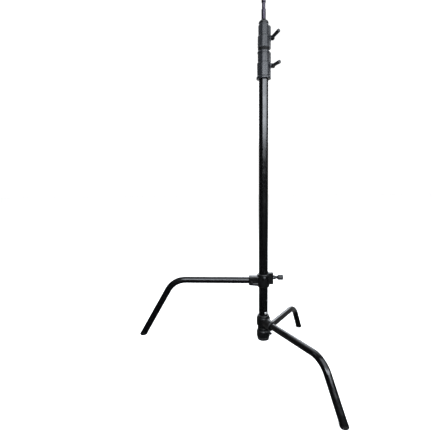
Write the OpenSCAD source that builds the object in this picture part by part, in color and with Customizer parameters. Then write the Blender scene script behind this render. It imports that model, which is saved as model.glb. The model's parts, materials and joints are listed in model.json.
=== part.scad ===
// Folding light stand with a sliding leg: three bent tube legs round one column,
// two telescopic risers with T-handle locks, and a grooved stud on top.
// The stand is drawn with its risers down and its sliding leg raised.

/* [Column and risers] */
// Height of the stand with both risers down
stand_h = 1344.5; // [1344:0.5:1346]
// Outside diameter of the column tube
column_d = 35; // [34.5:0.1:35]
// Outside diameter of the first riser
riser_1_d = 30; // [29.8:0.1:30]
// Outside diameter of the second riser
riser_2_d = 25; // [24.8:0.1:25]
// Wall of the column and riser tubes
tube_wall = 1.5; // [1.4:0.1:1.5]

/* [Legs] */
// Outside diameter of the leg tubes
leg_d = 25; // [24:0.5:25]
// Wall of the leg tubes
leg_wall = 2; // [1.5:0.5:3]
// Radius of each leg's bend, along the tube's centre line
bend_r = 80; // [60:5:90]
// Height of the sliding leg's straight part
slide_axis_h = 326.5; // [320:0.5:330]
// Distance from the column to the sliding leg's bend, if it were sharp
slide_bend = 348; // [345:1:360]
// Height of the raised foot above the floor
slide_lift = 101.6; // [95:0.1:105]
// Height of the front leg's straight part
front_axis_h = 164; // [163:0.5:165]
// Distance from the column to the front leg's bend, if it were sharp
front_bend = 325; // [323:1:328]
// Height of the rear leg's straight part
rear_axis_h = 120.5; // [120:0.5:121]
// Distance from the column to the rear leg's bend, if it were sharp
rear_bend = 316; // [310:1:318]

/* [Locks] */
// Direction that the lock screws point in, round the column
lock_turn = 30; // [20:1:45]
// Height of the lower lock's screw
lower_screw_h = 1125; // [1124.5:0.5:1126]
// Height of the upper lock's screw
upper_screw_h = 1221.5; // [1221:0.5:1222]
// How far the lower T-handle is turned from upright
lower_handle_turn = 88; // [0:1:180]
// How far the upper T-handle is turned from upright
upper_handle_turn = 76; // [0:1:180]
// Half of a T-handle's bar
handle_half = 45; // [40:1:46]

/* [Hidden] */
$fn = 72;
slip = 0.05; // radial clearance of every part that turns or slides in another
gap = 0.3; // gap between parts that only pass each other
big = 200;

column_r = column_d / 2;
riser_1_r = riser_1_d / 2;
riser_2_r = riser_2_d / 2;
leg_r = leg_d / 2;

// Directions of the legs round the column
slide_dir = 180;
front_dir = 300;
rear_dir = 60;
leg_slope = 60; // angle that each leg drops at, below level
bend_run = bend_r * tan(leg_slope / 2);

// Where each leg's centre line meets the level that its foot stands on
slide_reach = slide_bend + (slide_axis_h - slide_lift) / tan(leg_slope);
front_reach = front_bend + front_axis_h / tan(leg_slope);
rear_reach = rear_bend + rear_axis_h / tan(leg_slope);

// The origin is on the floor at the middle of the stand's outline, and the column stands here
column_x = (slide_reach - front_reach * cos(60)) / 2;
column_y = (front_reach - rear_reach) * sin(60) / 2;

// Heights of the base, from the floor up
base_bottom = 91.5;
base_top = 97.5;
flange_top = 101;
lower_collar_bottom = 102.3;
lower_collar_top = 139.2;
upper_collar_bottom = 140.6;
upper_collar_top = 183;
base_ring_top = 190;
stop_pin_h = 200;
core_r = 20;

// Heights of the locks
lower_lock_bottom = 1072;
column_top = lower_screw_h - 7;
lower_lock_top = 1170;
buffer_top = 1181;
riser_1_top = upper_screw_h - 7;
upper_lock_top = 1262;
lock_boss_reach = 27.8;
lock_boss_w = 16;

// Bottoms of the riser tubes
riser_1_bottom = 130;
riser_2_bottom = 165;
glide_h = 20;

// Sliding collar
collar_bottom = 301;
collar_top = 352;
collar_r = 24;
collar_bore_r = 18.8;
collar_screw_h = 338.5;
collar_boss_reach = 37.4;

// Lock screws
screw_r = 4;
shoe_r = 6;
screw_travel = 2;
lower_shoe_face = 21;
upper_shoe_face = 18;
collar_shoe_face = 26;

// Stud
pin_r = 8;
pin_seat_r = 8.6;
pin_shoulder = stand_h - 32.5;
cap_top = stand_h - 66.5;
cap_bottom = upper_lock_top + 0.8;

// Release plunger
plunger_dir = -30;
plunger_pin_r = 2;

// ---- Shared shapes ----

module on_column() translate([column_x, column_y, 0]) children();

// Turns +Z to point away from the column in direction dir, at height h
module outward(dir, h) translate([0, 0, h]) rotate([0, 0, dir]) rotate([0, 90, 0]) children();

// A ring between two radii and two heights
module ring(r_in, r_out, z0, z1) difference() {
    translate([0, 0, z0]) cylinder(r = r_out, h = z1 - z0);
    translate([0, 0, z0 - 1]) cylinder(r = r_in, h = z1 - z0 + 2);
}

// A bar from z0 to z1
module bar(r, z0, z1) translate([0, 0, z0]) cylinder(r = r, h = z1 - z0);

// A solid turned about Z from [radius, height] points, closed down the axis
module turned(points) rotate_extrude()
    polygon(concat([[0, points[0][1]]], points, [[0, points[len(points) - 1][1]]]));

// Points of a quarter-round between two directions, about a centre
function round_points(centre, r, from, to, steps = 6) =
    [for (i = [0:steps]) let (a = from + (to - from) * i / steps) centre + r * [cos(a), sin(a)]];

// A rectangle from x = 0 outward, with its two outer corners rounded
module boss_outline(reach, w, r) {
    translate([0, -w / 2 + r]) square([reach, w - 2 * r]);
    translate([0, -w / 2]) square([reach - r, w]);
    for (side = [-1, 1]) translate([reach - r, side * (w / 2 - r)]) circle(r = r);
}

// A boss on the side of a casting, with a sloping end at its top
module boss(dir, reach, w, r, z0, z1, slope) rotate([0, 0, dir]) difference() {
    translate([0, 0, z0]) linear_extrude(z1 - z0) boss_outline(reach, w, r);
    translate([reach - slope, -w, z1]) rotate([0, 45, 0]) cube([big, 2 * w, big]);
}

// Radial rivets that hold a casting on a tube
module rivets(dirs, h, r_in, r_out) for (dir = dirs) outward(dir, h) {
    bar(2, r_in, r_out);
    bar(3, r_out, r_out + 0.8);
}

module rivet_holes(dirs, h, r_in, r_out) for (dir = dirs) outward(dir, h) {
    bar(2, r_in - 1, r_out);
    bar(3, r_out, r_out + 20);
}

// ---- Legs ----

leg_start = 28; // distance from the column's axis to the leg tube's inner end
foot_tube_gap = 9; // height of the tube's lower end above the foot's sole

// The straight stretches run a little way into the bend's ends, in the middle of its wall
bend_overlap = 1;
bend_step = 0.02;

module leg_straight(z0, z1) ring(leg_r - leg_wall + bend_step, leg_r - bend_step, z0, z1);

// A leg's tube: straight out, round the bend, and down to just above its foot's sole
module leg_tube(dir, axis_h, bend, sole_h) rotate([0, 0, dir]) {
    bend_x = bend - bend_run;
    drop_x = bend_x + bend_r * sin(leg_slope);
    drop_h = axis_h - bend_r * (1 - cos(leg_slope));
    difference() {
        union() {
            translate([0, 0, axis_h]) rotate([0, 90, 0]) leg_straight(leg_start, bend_x + bend_overlap);
            translate([bend_x, 0, axis_h - bend_r]) rotate([90, 0, 0]) rotate([0, 0, 90 - leg_slope])
                rotate_extrude(angle = leg_slope) translate([bend_r, 0]) difference() {
                    circle(r = leg_r);
                    circle(r = leg_r - leg_wall);
                }
            translate([drop_x, 0, drop_h]) rotate([0, 90 + leg_slope, 0])
                leg_straight(-bend_overlap, (drop_h - sole_h) / sin(leg_slope) + 10);
        }
        leg_pin_hole(axis_h);
        translate([0, -big / 2, sole_h + foot_tube_gap - big]) cube([3 * big, big, big]);
    }
}

pin_from_column = 44; // distance of a leg's cross pin from the column's axis
cross_pin_r = 2.5;

module leg_pin_hole(axis_h) translate([pin_from_column, 0, axis_h]) rotate([90, 0, 0])
    translate([0, 0, -30]) cylinder(r = cross_pin_r + 0.02, h = 60);

module leg_pin(dir, axis_h, half) rotate([0, 0, dir]) translate([pin_from_column, 0, axis_h])
    rotate([90, 0, 0]) difference() {
        translate([0, 0, -half]) cylinder(r = cross_pin_r, h = 2 * half);
        translate([0, 0, -half - 1]) cylinder(r = cross_pin_r - 1, h = 2 * half + 2);
    }

// A plug in the tube's end, with a flat sole and a rounded toe
module leg_foot(dir, reach, sole_h) rotate([0, 0, dir]) {
    head_r = leg_r + 0.6;
    toe_r = 16;
    intersection() {
        translate([reach, 0, sole_h]) rotate([0, leg_slope - 90, 0]) union() {
            intersection() {
                translate([0, 0, -20]) cylinder(r = head_r, h = 20 + 22);
                translate([0, 0, 8]) sphere(r = toe_r);
            }
        }
        translate([reach - big / 2, -big / 2, sole_h]) cube([big, big, foot_tube_gap - 0.1]);
    }
    difference() {
        translate([reach, 0, sole_h]) rotate([0, leg_slope - 90, 0])
            translate([0, 0, -2]) cylinder(r = leg_r - leg_wall - slip, h = 36);
        translate([reach - big / 2, -big / 2, sole_h + foot_tube_gap - 0.2 - big]) cube([big, big, big]);
    }
}

// A leg's socket: a tapered barrel out from the collar
socket_reach = 60;
module leg_socket(dir, axis_h) outward(dir, axis_h) {
    translate([0, 0, 12]) cylinder(r1 = 18.4, r2 = 17.6, h = socket_reach - 14);
    translate([0, 0, socket_reach - 2]) cylinder(r1 = 17.6, r2 = 15.8, h = 2);
}

// What is cut out of a collar for the leg tube and its cross pin
module socket_bore(dir, axis_h) {
    outward(dir, axis_h) bar(leg_r + slip, leg_start - 0.5, socket_reach + 5);
    rotate([0, 0, dir]) leg_pin_hole(axis_h);
}

module front_leg_tube() color("#0d0d0f") on_column() leg_tube(front_dir, front_axis_h, front_bend, 0);
module rear_leg_tube() color("#0d0d0f") on_column() leg_tube(rear_dir, rear_axis_h, rear_bend, 0);
module sliding_leg_tube() color("#0d0d0f") on_column()
    leg_tube(slide_dir, slide_axis_h, slide_bend, slide_lift);

module front_leg_foot() color("#101010") on_column() leg_foot(front_dir, front_reach, 0);
module rear_leg_foot() color("#101010") on_column() leg_foot(rear_dir, rear_reach, 0);
module sliding_leg_foot() color("#101010") on_column() leg_foot(slide_dir, slide_reach, slide_lift);

module front_leg_pin() color("#202024") on_column() leg_pin(front_dir, front_axis_h, 17.4);
module rear_leg_pin() color("#202024") on_column() leg_pin(rear_dir, rear_axis_h, 17.4);
module sliding_leg_pin() color("#202024") on_column() leg_pin(slide_dir, slide_axis_h, 14.2);

// ---- Base ----

module column_tube() color("#0d0d0f") on_column() difference() {
    ring(column_r - tube_wall, column_r, base_top, column_top);
    outward(front_dir, stop_pin_h) bar(stop_pin_r + slip, 10, 25);
    rivet_holes(lock_rivet_dirs, lower_rivet_h, column_r - tube_wall, column_r + 1);
}

// The sleeve that the lower leg collars turn on
module base_core() color("#1c1c1f") on_column() difference() {
    union() {
        bar(core_r, base_top, upper_collar_top + 0.2);
        bar(22.6, base_top, flange_top);
    }
    bar(column_r + slip, base_top - 1, upper_collar_top + 1);
    ring(core_r - 1.3, core_r + 1, rear_axis_h - 2.6, rear_axis_h + 2.6);
}

module base_plug() color("#2a2a2d") on_column()
    ring(screw_r + slip, column_r - tube_wall - slip, base_top, base_top + 18);

module base_cap() color("#131315") on_column() difference() {
    turned(concat(round_points([20, base_bottom + 3], 3, -90, 0),
        [[23.2, flange_top - 0.8], [22.8, flange_top]]));
    bar(22.65, base_top - 0.1, flange_top + 1);
    ring(10, 20, base_bottom + 3, base_top + 1);
    bar(screw_r + slip, base_bottom - 1, base_top + 1);
    bar(7.2, base_bottom - 1, base_bottom + 3.8);
}

module base_bolt() color("#38383c") on_column() difference() {
    union() {
        bar(6.5, base_bottom + 0.3, base_bottom + 3.8);
        bar(screw_r, base_bottom + 3.8, base_top + 16);
    }
    translate([0, 0, base_bottom - 1]) cylinder(r = 3.46, h = 3.3, $fn = 6);
}

module base_washers() color("#0c0c0c") on_column() {
    ring(core_r + slip, 22.4, flange_top + slip, lower_collar_bottom - 0.2);
    ring(core_r + slip, 22, lower_collar_top + 0.2, upper_collar_bottom - 0.2);
}

module base_ring() color("#151517") on_column() difference() {
    turned([[23.4, upper_collar_top + 0.4], [23.4, base_ring_top - 2], [21.4, base_ring_top]]);
    bar(column_r + slip, upper_collar_top - 1, base_ring_top + 1);
}

stop_pin_r = 5;
module leg_stop_pin() color("#e2e2e0") on_column() outward(front_dir, stop_pin_h) {
    bar(stop_pin_r, column_r - tube_wall + 0.1, column_r + 0.3);
    translate([0, 0, column_r + 0.3]) cylinder(r1 = stop_pin_r, r2 = stop_pin_r - 0.6, h = 0.4);
    translate([0, 0, column_r + 0.7]) cylinder(r1 = stop_pin_r - 0.6, r2 = stop_pin_r - 1.8, h = 0.4);
}

module front_leg_collar() color("#1a1a1d") on_column() difference() {
    union() {
        turned(concat([[22.4, upper_collar_bottom], [22.4, 149.5]],
            round_points([22.5, 153], 3.5, -70, 0), round_points([22, 178.5], 4, 0, 75),
            [[22.6, upper_collar_top]]));
        leg_socket(front_dir, front_axis_h);
    }
    bar(core_r + slip, upper_collar_bottom - 20, upper_collar_top + 20);
    socket_bore(front_dir, front_axis_h);
}

module rear_leg_collar() color("#1a1a1d") on_column() difference() {
    union() {
        turned(concat([[23, lower_collar_bottom]], round_points([21.7, 106], 3.8, -60, 0),
            round_points([21.7, 125.5], 3.8, 0, 70), [[22.5, 131], [22.5, lower_collar_top]]));
        leg_socket(rear_dir, rear_axis_h);
        outward(plunger_dir, rear_axis_h) bar(6.6, 15, 26.6);
    }
    bar(core_r + slip, lower_collar_bottom - 20, lower_collar_top + 20);
    socket_bore(rear_dir, rear_axis_h);
    outward(plunger_dir, rear_axis_h) {
        bar(plunger_pin_r + slip, 15, 30);
        bar(4.4, 21.2, 30);
    }
}

// ---- Release plunger in the rear leg's collar ----

module plunger_bush() color("#2c2c30") on_column() outward(plunger_dir, rear_axis_h)
    ring(plunger_pin_r + slip, 4.35, 25, 26.8);

module leg_plunger() color("#101012") on_column() outward(plunger_dir, rear_axis_h) {
    bar(plunger_pin_r, 19, 31);
    bar(3.6, 21.3, 22);
    intersection() {
        translate([0, 0, 31.6]) sphere(r = 5.3);
        bar(8, 27.2, 40);
    }
}

// A round wire wound in a helix about Z
function coil_ring(i, per_turn, r, wire_r, rise, sides) =
    let (turn = 360 * i / per_turn, slope = atan(rise / (2 * PI * r)))
    [for (k = [0:sides - 1]) let (a = 360 * k / sides, u = wire_r * cos(a), v = wire_r * sin(a))
        [(r + u) * cos(turn) + v * sin(slope) * sin(turn),
            (r + u) * sin(turn) - v * sin(slope) * cos(turn),
            rise * i / per_turn + v * cos(slope)]];

module coil(r, wire_r, length, turns, per_turn = 16, sides = 8) {
    rings = turns * per_turn;
    points = [for (i = [0:rings]) each coil_ring(i, per_turn, r, wire_r, length / turns, sides)];
    walls = [for (i = [0:rings - 1], k = [0:sides - 1]) let (n = (k + 1) % sides)
        each [[i * sides + k, (i + 1) * sides + k, (i + 1) * sides + n],
            [i * sides + k, (i + 1) * sides + n, i * sides + n]]];
    first = [[for (k = [0:sides - 1]) k]];
    last = [[for (k = [sides - 1:-1:0]) rings * sides + k]];
    polyhedron(points, concat(walls, first, last));
}

module plunger_spring() color("#9a9a9c") on_column() outward(plunger_dir, rear_axis_h)
    translate([0, 0, 22.4]) coil(3, 0.3, 2.2, 2.5);

// ---- Sliding collar ----

module collar_liner() color("#0c0c0c") on_column()
    ring(column_r + slip, collar_bore_r - slip, collar_bottom + 8.3, collar_top - 0.5);

module sliding_collar() color("#17171a") on_column() difference() {
    union() {
        turned([[20.8, collar_bottom], [23, collar_bottom + 4], [collar_r, collar_bottom + 8],
            [collar_r, collar_top - 2], [collar_r - 1.5, collar_top]]);
        boss(0, collar_boss_reach, 27, 4, 314, 358, 1.8);
        collar_socket();
        // small pad round the liner's screw
        outward(collar_screw_dir, collar_screw_h) bar(6.5, 15, collar_r + 0.8);
    }
    bar(collar_bore_r, collar_bottom - 1, 400);
    bar(19.6, collar_bottom - 1, collar_bottom + 8);
    outward(0, collar_screw_h) {
        bar(shoe_r + slip, 10, collar_shoe_face + screw_travel + gap);
        bar(screw_r + slip, 10, 50);
    }
    socket_bore(slide_dir, slide_axis_h);
    outward(collar_screw_dir, collar_screw_h) bar(2, 10, 40);
}

// The sliding leg's socket: a squared block with bevelled edges, a hollowed panel on each side
// behind its end band, and a web that deepens towards the column
collar_socket_reach = 56;
socket_half_w = 15.5;
socket_half_h = 18;
socket_edge = 4;

// Outline of the block's end, with bevelled corners, drawn in from its full size by inset
function bevelled(w, h, edge) = [[w - edge, -h], [w, edge - h], [w, h - edge], [w - edge, h],
    [edge - w, h], [-w, h - edge], [-w, edge - h], [edge - w, -h]];

module socket_block(from, to, inset) translate([from, 0, slide_axis_h]) rotate([90, 0, 90])
    linear_extrude(to - from) polygon(bevelled(socket_half_w - inset, socket_half_h - inset, socket_edge));

module collar_socket() rotate([0, 0, slide_dir]) {
    web_half_w = socket_half_w - socket_edge;
    web_h = 3;
    panel_deep = 1.5;
    low = slide_axis_h - socket_half_h;
    difference() {
        socket_block(8, collar_socket_reach - 2, 0);
        for (side = [-1, 1]) translate([0, 0, slide_axis_h - 10]) linear_extrude(21) polygon([
            [20, side * (socket_half_w + 1)], [20, side * (socket_half_w - panel_deep)],
            [38, side * (socket_half_w - panel_deep)], [44, side * socket_half_w],
            [44, side * (socket_half_w + 1)]]);
    }
    socket_block(collar_socket_reach - 3, collar_socket_reach, 1.5);
    translate([0, web_half_w, 0]) rotate([90, 0, 0]) linear_extrude(2 * web_half_w)
        polygon([[12, low - web_h], [20, low - web_h], [53, low], [53, low + 1], [12, low + 1]]);
}

collar_screw_dir = -84;
module collar_screw() color("#202024") on_column() outward(collar_screw_dir, collar_screw_h) difference() {
    union() {
        bar(1.95, collar_bore_r + 0.2, collar_r + 0.8);
        translate([0, 0, collar_r + 0.8]) cylinder(r = 4.2, h = 0.8);
        translate([0, 0, collar_r + 1.6]) cylinder(r1 = 4.2, r2 = 2.8, h = 1);
    }
    translate([0, 0, collar_r + 1.2]) cylinder(r = 1.7, h = 4, $fn = 6);
}

module collar_brake_shoe() color("#3a3a3a") on_column()
    brake_shoe(0, collar_screw_h, collar_bore_r - slip, collar_shoe_face);

module collar_knob_stud() color("#77797d") on_column() outward(0, collar_screw_h)
    lock_stud(collar_shoe_face, 31);

module collar_knob() color("#151518") on_column() outward(0, collar_screw_h)
    translate([0, 0, collar_shoe_face]) difference() {
        turned([[7.2, 12.2], [7.8, 13], [7.8, 19], [7, 20.5], [5.4, 22], [5.4, 25], [7, 28],
            [9.2, 30], [10.2, 31.2], [10.2, 46.6], [9.4, 48.4], [7.6, 49.2]]);
        bar(screw_r, 10, 32);
        // flutes round the grip
        for (i = [0:9]) rotate([0, 0, 36 * i + 9]) translate([11.6, 0, 31]) cylinder(r = 2.4, h = 20);
    }

// ---- Locks ----

// A shoe that a lock screw presses on the tube, hollowed to the tube's curve
module brake_shoe(dir, h, tube_r, face) difference() {
    outward(dir, h) bar(shoe_r, 8, face);
    translate([0, 0, h - 20]) cylinder(r = tube_r + gap, h = 40);
}

module lock_stud(face, length) translate([0, 0, face + gap]) {
    cylinder(r1 = screw_r - 1, r2 = screw_r, h = 1);
    bar(screw_r, 1, length);
}

// What is cut out of a lock's casting for its shoe and screw
module lock_bores(h, face) outward(lock_turn, h) {
    bar(shoe_r + slip, 5, face + screw_travel + gap);
    bar(screw_r + slip, 5, 40);
}

// A T-handle: a turned hub, and a slightly flattened bar with two blunt ends
handle_stud_length = 23;
module t_handle(face, turn) translate([0, 0, face]) difference() {
    bar_h = 17.5;
    bar_flat = 5.8;
    union() {
        turned([[6.6, 10.6], [7.6, 11.4], [8.4, 14], [8.4, 21.5], [7.9, 24.5], [6.4, 26.4], [4, 27]]);
        rotate([0, 0, turn]) intersection() {
            for (end = [0, 180]) rotate([0, 0, end]) translate([0, 0, bar_h]) rotate([0, 90, 0]) {
                cylinder(r1 = 6.2, r2 = 6.6, h = handle_half - 1.5);
                translate([0, 0, handle_half - 1.5]) cylinder(r1 = 6.6, r2 = 5.4, h = 1.5);
            }
            translate([-big / 2, -big / 2, bar_h - bar_flat]) cube([big, big, 2 * bar_flat]);
        }
    }
    bar(screw_r, 9, handle_stud_length + 0.7);
}

lock_rivet_dirs = [85, 165];
lower_rivet_h = 1096;
upper_rivet_h = 1197;

module lower_lock_housing() color("#45484e") on_column() difference() {
    union() {
        turned(concat(round_points([24, 1074.6], 2.6, -90, 0), [[26.6, 1078], [25, 1081.5], [23.5, 1083],
            [23.5, 1127.4], [22.4, 1128.6], [20.4, 1128.8], [20.4, 1130.4], [21, 1130.8], [21, 1160],
            [22.4, 1161.4], [22.4, 1166.4], [20.8, lower_lock_top]]));
        boss(lock_turn, lock_boss_reach, lock_boss_w, 3, 1074, 1168, 4);
    }
    bar(column_r + slip, lower_lock_bottom - 1, column_top + slip);
    bar(riser_1_r + 1.5, column_top - 1, lower_lock_top + 1);
    lock_bores(lower_screw_h, lower_shoe_face);
    rivet_holes(lock_rivet_dirs, lower_rivet_h, column_r - tube_wall, 23);
}

module lower_lock_liner() color("#0c0c0c") on_column() difference() {
    ring(riser_1_r + slip, riser_1_r + 1.45, column_top + 0.3, lower_lock_top - 1);
    outward(lock_turn, lower_screw_h) bar(shoe_r + 0.4, 5, 30);
}

module lower_lock_rivets() color("#3a3c40") on_column()
    rivets(lock_rivet_dirs, lower_rivet_h, column_r - tube_wall + 0.1, 23);

module lower_brake_shoe() color("#3a3a3a") on_column()
    brake_shoe(lock_turn, lower_screw_h, riser_1_r, lower_shoe_face);

module lower_handle_stud() color("#77797d") on_column() outward(lock_turn, lower_screw_h)
    lock_stud(lower_shoe_face, handle_stud_length);

module lower_t_handle() color("#232328") on_column() outward(lock_turn, lower_screw_h)
    t_handle(lower_shoe_face, lower_handle_turn);

module upper_lock_housing() color("#45484e") on_column() difference() {
    union() {
        turned([[20.6, buffer_top], [21.6, buffer_top + 1.6], [21.6, 1186], [21.3, 1187], [21.3, 1219.6],
            [20.4, 1220.8], [18.8, 1221], [18.8, 1222.6], [19.3, 1223], [19.3, 1253], [19.3, 1255.4],
            [17.2, upper_lock_top]]);
        boss(lock_turn, lock_boss_reach - 0.6, lock_boss_w, 3, 1179, 1259, 5);
    }
    bar(riser_1_r + slip, buffer_top - 10, riser_1_top + slip);
    bar(riser_2_r + 1.5, riser_1_top - 1, upper_lock_top + 1);
    lock_bores(upper_screw_h, upper_shoe_face);
    rivet_holes(lock_rivet_dirs, upper_rivet_h, riser_1_r - tube_wall, 20.8);
    // room for the buffer ring below the casting's foot
    ring(riser_1_r, 20.7, buffer_top - 10, buffer_top);
}

module upper_lock_liner() color("#0c0c0c") on_column() difference() {
    ring(riser_2_r + slip, riser_2_r + 1.45, riser_1_top + 0.3, upper_lock_top - 1);
    outward(lock_turn, upper_screw_h) bar(shoe_r + 0.4, 5, 30);
}

module upper_lock_rivets() color("#3a3c40") on_column()
    rivets(lock_rivet_dirs, upper_rivet_h, riser_1_r - tube_wall + 0.1, 20.8);

module upper_brake_shoe() color("#3a3a3a") on_column()
    brake_shoe(lock_turn, upper_screw_h, riser_2_r, upper_shoe_face);

module upper_handle_stud() color("#77797d") on_column() outward(lock_turn, upper_screw_h)
    lock_stud(upper_shoe_face, handle_stud_length);

module upper_t_handle() color("#232328") on_column() outward(lock_turn, upper_screw_h)
    t_handle(upper_shoe_face, upper_handle_turn);

// ---- Risers ----

// A bush round a riser's lower end, with a lip under the tube
module glide(bore_r, tube_r, bottom) {
    ring(tube_r + slip, bore_r - slip, bottom - gap, bottom + glide_h);
    ring(tube_r - 3, bore_r - slip, bottom - 6, bottom - gap);
}

module riser_1_glide() color("#d8d4c8") on_column()
    glide(column_r - tube_wall, riser_1_r, riser_1_bottom);

module riser_1_tube() color("#0d0d0f") on_column() difference() {
    ring(riser_1_r - tube_wall, riser_1_r, riser_1_bottom, riser_1_top);
    rivet_holes(lock_rivet_dirs, upper_rivet_h, riser_1_r - tube_wall, riser_1_r + 1);
}

module buffer_ring() color("#060606") on_column()
    ring(riser_1_r + slip, 20.5, lower_lock_top + gap, buffer_top - 0.1);

module riser_2_glide() color("#d8d4c8") on_column()
    glide(riser_1_r - tube_wall, riser_2_r, riser_2_bottom);

module riser_2_tube() color("#0d0d0f") on_column() difference() {
    ring(riser_2_r - tube_wall, riser_2_r, riser_2_bottom, cap_top - 7);
    roll_pin_hole();
}

module riser_2_cap() color("#101012") on_column() difference() {
    turned(concat([[17.4, cap_bottom], [18, cap_bottom + 1], [18, cap_bottom + 2.4]],
        round_points([7.6, cap_bottom + 2.4], 10.4, 8, 72, 8), [[9.6, cap_top]]));
    bar(riser_2_r + 0.02, cap_bottom - 1, cap_top - 7);
    bar(pin_seat_r + 0.02, cap_bottom - 1, cap_top + 1);
}

// The stud: a plain lower length, a groove and a collar on top, on a spigot inside the riser.
// A wider seat fills the cap's bore.
module baby_pin() color("#5a525c") on_column() difference() {
    turned([[riser_2_r - tube_wall - slip, cap_top - 50], [riser_2_r - tube_wall - slip, cap_top - 7],
        [pin_seat_r, cap_top - 7], [pin_seat_r, cap_top], [pin_r, cap_top], [pin_r, pin_shoulder],
        [6.4, pin_shoulder + 3], [6.4, stand_h - 10.5], [pin_r, stand_h - 8.5],
        [pin_r, stand_h - 1.2], [pin_r - 1.2, stand_h]]);
    roll_pin_hole();
}

roll_pin_h = cap_top - 30;
module roll_pin_hole() outward(90, roll_pin_h) bar(cross_pin_r + 0.02, -20, 20);

module baby_pin_roll_pin() color("#3a3a3e") on_column() outward(90, roll_pin_h)
    ring(cross_pin_r - 1, cross_pin_r, -12.3, 12.3);

column_tube();
base_core();
base_plug();
base_cap();
base_bolt();
base_washers();
base_ring();
leg_stop_pin();
lower_lock_housing();
lower_lock_liner();
lower_lock_rivets();
front_leg_collar();
front_leg_tube();
front_leg_foot();
front_leg_pin();
rear_leg_collar();
rear_leg_tube();
rear_leg_foot();
rear_leg_pin();
plunger_bush();
plunger_spring();
leg_plunger();
collar_liner();
sliding_collar();
sliding_leg_tube();
sliding_leg_foot();
sliding_leg_pin();
collar_screw();
collar_brake_shoe();
collar_knob_stud();
collar_knob();
lower_brake_shoe();
lower_handle_stud();
lower_t_handle();
riser_1_glide();
riser_1_tube();
buffer_ring();
upper_lock_housing();
upper_lock_liner();
upper_lock_rivets();
upper_brake_shoe();
upper_handle_stud();
upper_t_handle();
riser_2_glide();
riser_2_tube();
riser_2_cap();
baby_pin();
baby_pin_roll_pin();
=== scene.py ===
import json
import math

import bmesh
import bpy
from mathutils import Matrix, Vector


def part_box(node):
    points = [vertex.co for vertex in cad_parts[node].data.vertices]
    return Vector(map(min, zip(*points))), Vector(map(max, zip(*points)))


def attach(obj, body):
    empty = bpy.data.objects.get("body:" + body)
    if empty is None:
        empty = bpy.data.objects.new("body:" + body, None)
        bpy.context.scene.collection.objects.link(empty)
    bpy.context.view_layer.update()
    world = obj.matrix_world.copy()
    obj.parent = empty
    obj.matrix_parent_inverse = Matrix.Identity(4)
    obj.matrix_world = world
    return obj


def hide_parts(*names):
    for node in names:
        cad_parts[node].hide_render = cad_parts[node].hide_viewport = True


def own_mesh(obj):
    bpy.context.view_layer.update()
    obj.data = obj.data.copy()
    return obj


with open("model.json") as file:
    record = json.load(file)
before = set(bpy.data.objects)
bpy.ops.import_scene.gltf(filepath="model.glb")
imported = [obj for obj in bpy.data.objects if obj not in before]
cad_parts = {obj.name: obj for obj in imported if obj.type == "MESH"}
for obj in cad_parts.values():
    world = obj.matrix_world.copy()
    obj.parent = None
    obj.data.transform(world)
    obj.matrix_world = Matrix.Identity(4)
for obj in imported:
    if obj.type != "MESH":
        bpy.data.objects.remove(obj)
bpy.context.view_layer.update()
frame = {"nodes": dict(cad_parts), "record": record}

# ---- Places, slots and bodies taken from the frame ----

column_low, column_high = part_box("column_tube")
AXIS = Vector(((column_low.x + column_high.x) / 2, (column_low.y + column_high.y) / 2, 0))

SLOT_OF = {part["node"]: part["material_slot"] for part in frame["record"]["subparts"]}
BODY_OF = {
    node: body for body, nodes in frame["record"]["behaviour"]["bodies"].items() for node in nodes
}


def add_object(name, data):
    """A new object, put into the scene."""
    thing = bpy.data.objects.new(name, data)
    bpy.context.scene.collection.objects.link(thing)
    return thing


def stand_in(piece, node):
    """Shows piece in place of a CAD node, on that node's body, and hides the node."""
    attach(piece, BODY_OF[node])
    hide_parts(node)


# ---- Camera ----

CAMERA_FROM_AXIS = Vector((-0.0871, -1.3245, 0.7181))
CAMERA_YAW = math.radians(-3.975)
CAMERA_DROP = math.radians(6.108)
CAMERA_ROLL = math.radians(-0.766)
CAMERA_LENS_MM = 29.23
SENSOR_MM = 36


def make_camera():
    """The camera, a little above the middle of the stand and looking slightly down at it."""
    forward = Vector((
        math.sin(CAMERA_YAW) * math.cos(CAMERA_DROP),
        math.cos(CAMERA_YAW) * math.cos(CAMERA_DROP),
        -math.sin(CAMERA_DROP),
    ))
    level = Vector((math.cos(CAMERA_YAW), -math.sin(CAMERA_YAW), 0))
    up = level.cross(forward)
    right = math.cos(CAMERA_ROLL) * level + math.sin(CAMERA_ROLL) * up
    top = right.cross(forward)
    turn = Matrix((right, top, -forward)).transposed().to_4x4()
    data = bpy.data.cameras.new("camera")
    data.sensor_width = SENSOR_MM
    data.lens = CAMERA_LENS_MM
    camera = add_object("camera", data)
    camera.matrix_world = Matrix.Translation(AXIS + CAMERA_FROM_AXIS) @ turn
    bpy.context.scene.camera = camera


# ---- Node graphs ----

# Ranges of a noise's output: nearly all of it, the same with a long top, and its upper part
MOST = (0.3, 0.7)
LONG_TOP = (0.3, 0.75)
UPPER = (0.35, 0.7)

MICRON = 0.000001


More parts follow.
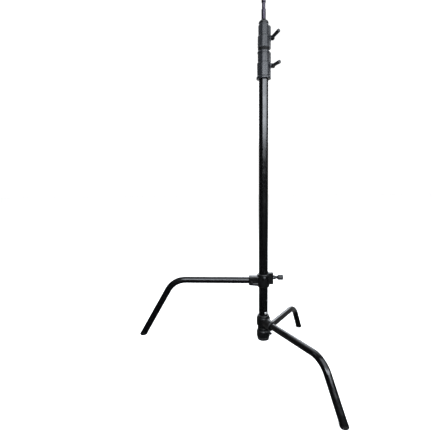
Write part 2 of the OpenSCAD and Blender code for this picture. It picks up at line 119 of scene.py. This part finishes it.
class Graph:
    """A material's node tree, with a short call for each kind of node used here."""

    def __init__(self, name):
        self.material = bpy.data.materials.new(name)
        self.material.use_nodes = True
        tree = self.material.node_tree
        self.nodes, self.links = tree.nodes, tree.links
        self.shader = self.nodes["Principled BSDF"]
        self.place = self.nodes.new("ShaderNodeTexCoord").outputs["Object"]

    def constant(self, socket, value):
        """A value that is the same all over the surface."""
        self.shader.inputs[socket].default_value = value

    def feed(self, output, socket):
        """Joins an output to one of the shader's sockets."""
        self.links.new(output, self.shader.inputs[socket])

    def stretched(self, x, y, z):
        """Object coordinates multiplied along each axis."""
        node = self.nodes.new("ShaderNodeMapping")
        node.inputs["Scale"].default_value = (x, y, z)
        self.links.new(self.place, node.inputs["Vector"])
        return node.outputs["Vector"]

    def noise(self, per_metre, detail, vector=None, roughness=0.5):
        """Cloudy noise, with this many clouds to a metre."""
        node = self.nodes.new("ShaderNodeTexNoise")
        node.inputs["Scale"].default_value = per_metre
        node.inputs["Detail"].default_value = detail
        node.inputs["Roughness"].default_value = roughness
        self.links.new(vector or self.place, node.inputs["Vector"])
        return node.outputs["Fac"]

    def spots(self, per_metre):
        """Distance to the nearest of many scattered points."""
        node = self.nodes.new("ShaderNodeTexVoronoi")
        node.inputs["Scale"].default_value = per_metre
        self.links.new(self.place, node.inputs["Vector"])
        return node.outputs["Distance"]

    def spread(self, value, span, out=(0.0, 1.0)):
        """value mapped from the range span to the range out, and clamped there."""
        node = self.nodes.new("ShaderNodeMapRange")
        for socket, number in zip(("From Min", "From Max", "To Min", "To Max"), (*span, *out)):
            node.inputs[socket].default_value = number
        self.links.new(value, node.inputs["Value"])
        return node.outputs["Result"]

    def combine(self, operation, a, b):
        """Two outputs, or an output and a number, put together and clamped to 0 and 1."""
        node = self.nodes.new("ShaderNodeMath")
        node.operation = operation
        node.use_clamp = True
        self.links.new(a, node.inputs[0])
        if isinstance(b, float):
            node.inputs[1].default_value = b
        else:
            self.links.new(b, node.inputs[1])
        return node.outputs[0]

    def blend(self, factor, a, b):
        """Two colours or two outputs, mixed by factor."""
        node = self.nodes.new("ShaderNodeMix")
        node.data_type = "RGBA"
        self.links.new(factor, node.inputs[0])
        for socket, colour in ((node.inputs[6], a), (node.inputs[7], b)):
            if isinstance(colour, tuple):
                socket.default_value = (*colour, 1)
            else:
                self.links.new(colour, socket)
        return node.outputs[2]

    def edges(self, span):
        """0 to 1 as the surface's pointiness goes through span, so 1 along convex edges."""
        geometry = self.nodes.new("ShaderNodeNewGeometry")
        return self.spread(geometry.outputs["Pointiness"], span)

    def bump(self, layers):
        """Bump from (height output, depth in microns) pairs, each laid on the one before."""
        normal = None
        for height, depth in layers:
            node = self.nodes.new("ShaderNodeBump")
            node.inputs["Distance"].default_value = depth * MICRON
            self.links.new(height, node.inputs["Height"])
            if normal:
                self.links.new(normal, node.inputs["Normal"])
            normal = node.outputs["Normal"]
        self.feed(normal, "Normal")


# ---- Materials ----

# Pointiness where a casting's coat begins to rub through, and where it is gone
RUBBED_EDGE = (0.54, 0.62)

LATHE_RINGS_PER_METRE = 2600


def gloss_paint():
    """Gloss black enamel on steel tube: faint orange peel, and fine scratches along Z."""
    dark, light, scuffed = (0.0009, 0.0009, 0.001), (0.0019, 0.0019, 0.0021), (0.03, 0.0305, 0.032)
    g = Graph("gloss_black_enamel")
    tone = g.blend(g.spread(g.noise(9, 4), UPPER), dark, light)
    streaks = g.noise(1, 5, g.stretched(900, 900, 14), 0.65)
    rubs = g.spread(g.noise(36, 3), (0.56, 0.7))
    scuffs = g.combine("MULTIPLY", g.spread(streaks, (0.66, 0.72)), rubs)
    g.feed(g.blend(scuffs, tone, scuffed), "Base Color")
    gloss = g.spread(g.noise(55, 5), LONG_TOP, out=(0.13, 0.26))
    g.feed(g.combine("ADD", gloss, g.combine("MULTIPLY", scuffs, 0.3)), "Roughness")
    g.bump([(g.noise(300, 2), 30), (streaks, 10)])
    return g.material


def casting(name, dark, light, bare, roughness):
    """Powder coat on a rough casting: fine grain, soft mottling, and bare metal at edges."""
    g = Graph(name)
    tone = g.blend(g.spread(g.noise(45, 3), LONG_TOP), dark, light)
    patchy = g.spread(g.noise(230, 4), (0.42, 0.6))
    worn = g.combine("MULTIPLY", g.edges(RUBBED_EDGE), patchy)
    g.feed(g.blend(worn, tone, bare), "Base Color")
    satin = g.spread(g.noise(90, 3), LONG_TOP, out=(roughness - 0.04, roughness + 0.06))
    g.feed(g.combine("SUBTRACT", satin, g.combine("MULTIPLY", worn, 0.12)), "Roughness")
    g.bump([(g.noise(260, 2), 30), (g.noise(1900, 3), 6)])
    return g.material


def rubber():
    """Moulded black rubber with dusty scuffs."""
    clean, dusty = (0.0008, 0.0008, 0.0008), (0.0035, 0.0035, 0.0033)
    g = Graph("moulded_black_rubber")
    dust = g.spread(g.noise(130, 6, roughness=0.7), (0.5, 0.72))
    g.feed(g.blend(dust, clean, dusty), "Base Color")
    g.feed(g.spread(g.noise(400, 3), MOST, out=(0.55, 0.8)), "Roughness")
    g.constant("Specular IOR Level", 0.22)
    g.bump([(g.noise(900, 4), 80), (g.spots(700), 50)])
    return g.material


def moulded(name, dark, light, roughness):
    """Moulded nylon: a fine spark-eroded texture and faint flow marks."""
    g = Graph(name)
    flow = g.noise(1, 3, g.stretched(60, 60, 160))
    g.feed(g.blend(g.spread(flow, UPPER), dark, light), "Base Color")
    satin = g.spread(g.noise(260, 4), MOST, out=(roughness - 0.08, roughness + 0.1))
    g.feed(satin, "Roughness")
    g.bump([(g.spots(2400), 30), (flow, 40)])
    return g.material


def turned_steel(name, dark, light, roughness):
    """Steel turned on a lathe about Z: fine rings, handling marks and small dings."""
    g = Graph(name)
    rings = g.noise(1, 2, g.stretched(6, 6, LATHE_RINGS_PER_METRE))
    marks = g.spread(g.noise(70, 6, roughness=0.7), (0.4, 0.66))
    g.feed(g.blend(marks, dark, light), "Base Color")
    g.constant("Metallic", 1.0)
    satin = g.spread(g.noise(180, 5), MOST, out=(roughness - 0.07, roughness + 0.12))
    g.feed(satin, "Roughness")
    dings = g.spread(g.spots(160), (0.0, 0.14))
    g.bump([(dings, 40), (rings, 30)])
    return g.material


def plated(name, dark, light, roughness):
    """Plated or blackened steel with cloudy colour and fine grain."""
    g = Graph(name)
    cloud = g.spread(g.noise(110, 5), (0.35, 0.68))
    g.feed(g.blend(cloud, dark, light), "Base Color")
    g.constant("Metallic", 1.0)
    satin = g.spread(g.noise(320, 4), MOST, out=(roughness - 0.06, roughness + 0.12))
    g.feed(satin, "Roughness")
    g.bump([(g.noise(1500, 3), 30)])
    return g.material


def pale_floor():
    """Plain pale studio floor, very faintly uneven."""
    g = Graph("pale_studio_floor")
    g.feed(g.blend(g.noise(2, 3), (0.93, 0.93, 0.93), (0.95, 0.95, 0.95)), "Base Color")
    g.feed(g.spread(g.noise(12, 3), MOST, out=(0.75, 0.9)), "Roughness")
    return g.material


# One material for each slot of the record
MATERIALS = {
    "gloss_black_paint": gloss_paint(),
    "satin_black_casting": casting(
        "satin_black_casting_coat", dark=(0.0014, 0.0014, 0.0015), light=(0.0026, 0.0026, 0.0028),
        bare=(0.05, 0.05, 0.054), roughness=0.3,
    ),
    "grey_casting": casting(
        "dark_grey_casting_coat", dark=(0.0062, 0.0068, 0.0085), light=(0.0078, 0.0086, 0.0105),
        bare=(0.09, 0.092, 0.097), roughness=0.3,
    ),
    "handle_casting": casting(
        "handle_casting_coat", dark=(0.004, 0.004, 0.0048), light=(0.0062, 0.0062, 0.0072),
        bare=(0.07, 0.07, 0.074), roughness=0.34,
    ),
    "black_knob": moulded(
        "black_knob_nylon", dark=(0.0035, 0.0035, 0.0042), light=(0.0055, 0.0055, 0.0065),
        roughness=0.32,
    ),
    "black_rubber": rubber(),
    "bright_steel": turned_steel(
        "bright_turned_steel", dark=(0.84, 0.84, 0.83), light=(0.93, 0.93, 0.92), roughness=0.42,
    ),
    "stud_steel": turned_steel(
        "dark_turned_steel", dark=(0.052, 0.045, 0.06), light=(0.085, 0.077, 0.095),
        roughness=0.27,
    ),
    "plated_steel": plated(
        "zinc_plated_steel", dark=(0.36, 0.37, 0.39), light=(0.52, 0.53, 0.54), roughness=0.3,
    ),
    "black_steel": plated(
        "black_oxide_steel", dark=(0.035, 0.035, 0.038), light=(0.07, 0.07, 0.076),
        roughness=0.38,
    ),
    "black_nylon": moulded(
        "black_liner_nylon", dark=(0.006, 0.006, 0.006), light=(0.011, 0.011, 0.011),
        roughness=0.45,
    ),
    "natural_nylon": moulded(
        "natural_nylon", dark=(0.66, 0.63, 0.55), light=(0.76, 0.73, 0.66), roughness=0.45,
    ),
}


def finish_node(node):
    """Gives a CAD node its procedural material."""
    shown = frame["nodes"][node]
    material = MATERIALS[SLOT_OF[node]]
    if shown.material_slots:
        for slot in shown.material_slots:
            slot.material = material
    else:
        shown.data.materials.append(material)


# ---- Castings and mouldings with rounded edges ----

WELD_DISTANCE = 0.000001
SMOOTHING = 0.5

# Each rounded piece, with the size of its faces in metres and how many times it is smoothed
SOFTENED = {
    "base_cap": (0.0008, 3),
    "base_ring": (0.0007, 3),
    "front_leg_collar": (0.0008, 4),
    "rear_leg_collar": (0.0008, 4),
    "sliding_collar": (0.0008, 4),
    "riser_2_cap": (0.0006, 3),
    "lower_t_handle": (0.0005, 3),
    "upper_t_handle": (0.0005, 3),
    "collar_knob": (0.0004, 3),
    "front_leg_foot": (0.0006, 4),
    "rear_leg_foot": (0.0006, 4),
    "sliding_leg_foot": (0.0006, 4),
}


def make_softened(node, voxel, passes):
    """A copy of a CAD node whose edges are rounded off, in place of it."""
    solid = bmesh.new()
    solid.from_mesh(frame["nodes"][node].data)
    bmesh.ops.remove_doubles(solid, verts=solid.verts, dist=WELD_DISTANCE)
    mesh = bpy.data.meshes.new(node + "_cast")
    solid.to_mesh(mesh)
    solid.free()
    piece = add_object(node + "_cast", mesh)
    remesh = piece.modifiers.new("even_faces", "REMESH")
    remesh.mode = "VOXEL"
    remesh.voxel_size = voxel
    smooth = piece.modifiers.new("round_edges", "SMOOTH")
    smooth.factor = SMOOTHING
    smooth.iterations = passes
    bpy.context.view_layer.update()
    shaped = bpy.data.meshes.new_from_object(
        piece.evaluated_get(bpy.context.evaluated_depsgraph_get())
    )
    piece.modifiers.clear()
    piece.data = shaped
    for face in shaped.polygons:
        face.use_smooth = True
    shaped.materials.clear()
    shaped.materials.append(MATERIALS[SLOT_OF[node]])
    stand_in(piece, node)


# ---- The release plunger's spring ----

SPRING = "plunger_spring"


def make_spring():
    """A copy of the CAD spring, with a mesh of its own, shown in place of it on its body."""
    mesh = frame["nodes"][SPRING].data.copy()
    mesh.materials.clear()
    mesh.materials.append(MATERIALS[SLOT_OF[SPRING]])
    piece = add_object(SPRING + "_coil", mesh)
    stand_in(piece, SPRING)
    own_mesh(piece)


# ---- Stage ----

FLOOR_HALF = 14.0
ROOM_STRENGTH = 1.14
FAR_WALL_STRENGTH = 0.6
FAR_WALL_FADE = (0.25, 0.95)  # how far a direction points to +Y where the wall begins and is full
LIGHT_TARGET = AXIS + Vector((0, 0, 0.75))
COOL_WHITE = (0.88, 0.93, 1.0)

# Name, azimuth and elevation in degrees, distance, width and height in metres, and radiance.
# A bright strip at head height crosses the front, with a dimmer panel above it.
LIGHTS = (
    ("front_strip_left", 2, 16, 2.7, 2.3, 0.72, 12.0),
    ("front_strip_right", 49, 16, 2.7, 2.2, 0.72, 9.5),
    ("front_ceiling", 22, 51, 2.7, 4.2, 2.3, 2.8),
    ("left_fill", -85, 40, 2.8, 0.8, 1.6, 1.0),
    ("right_fill", 98, 35, 2.8, 1.0, 2.0, 0.9),
    ("back_strip", 180, 16, 2.7, 2.6, 0.8, 5.0),
    ("back_ceiling", 180, 51, 2.7, 3.2, 2.2, 2.0),
)


def make_floor():
    """The floor, which the stand's gloss doesn't show."""
    mesh = bpy.data.meshes.new("floor")
    corners = [(-1, -1), (1, -1), (1, 1), (-1, 1)]
    mesh.from_pydata([(x * FLOOR_HALF, y * FLOOR_HALF, 0) for x, y in corners], [], [(0, 1, 2, 3)])
    mesh.materials.append(pale_floor())
    floor = add_object("floor", mesh)
    floor.visible_glossy = False


def make_world():
    """A white room for the light it gives. In gloss, only its far wall shows."""
    world = bpy.data.worlds.new("bright_room")
    world.use_nodes = True
    tree = world.node_tree
    make, link = tree.nodes.new, tree.links.new
    sky = tree.nodes["Background"]
    sky.inputs["Color"].default_value = (1, 1, 1, 1)
    direction = make("ShaderNodeSeparateXYZ")
    link(make("ShaderNodeTexCoord").outputs["Generated"], direction.inputs[0])
    far_wall = make("ShaderNodeMapRange")
    link(direction.outputs["Y"], far_wall.inputs["Value"])
    ends = zip(("From Min", "From Max", "To Max"), (*FAR_WALL_FADE, FAR_WALL_STRENGTH))
    for socket, number in ends:
        far_wall.inputs[socket].default_value = number
    strength = make("ShaderNodeMix")
    link(make("ShaderNodeLightPath").outputs["Is Glossy Ray"], strength.inputs[0])
    strength.inputs[2].default_value = ROOM_STRENGTH
    link(far_wall.outputs["Result"], strength.inputs[3])
    link(strength.outputs[0], sky.inputs["Strength"])
    bpy.context.scene.world = world


def round_about(azimuth, elevation, distance):
    """A place round the stand. Azimuth 0 is the camera's side and grows to its right."""
    a, e = math.radians(azimuth), math.radians(elevation)
    return LIGHT_TARGET + distance * Vector((
        math.sin(a) * math.cos(e), -math.cos(a) * math.cos(e), math.sin(e),
    ))


def make_light(name, azimuth, elevation, distance, width, height, radiance):
    """A soft panel that faces the stand, as bright as radiance says however large it is."""
    data = bpy.data.lights.new(name, "AREA")
    data.shape = "RECTANGLE"
    data.size = width
    data.size_y = height
    data.energy = radiance * math.pi * width * height
    data.color = COOL_WHITE
    light = add_object(name, data)
    light.location = round_about(azimuth, elevation, distance)
    light.rotation_mode = "QUATERNION"
    light.rotation_quaternion = (LIGHT_TARGET - light.location).to_track_quat("-Z", "Y")


# ---- Making ----

make_camera()
for name in frame["nodes"]:
    if name not in SOFTENED and name != SPRING:
        finish_node(name)
for name, (voxel, passes) in SOFTENED.items():
    make_softened(name, voxel, passes)
make_spring()
make_floor()
make_world()
for light in LIGHTS:
    make_light(*light)
bpy.context.scene.view_settings.view_transform = "Standard"
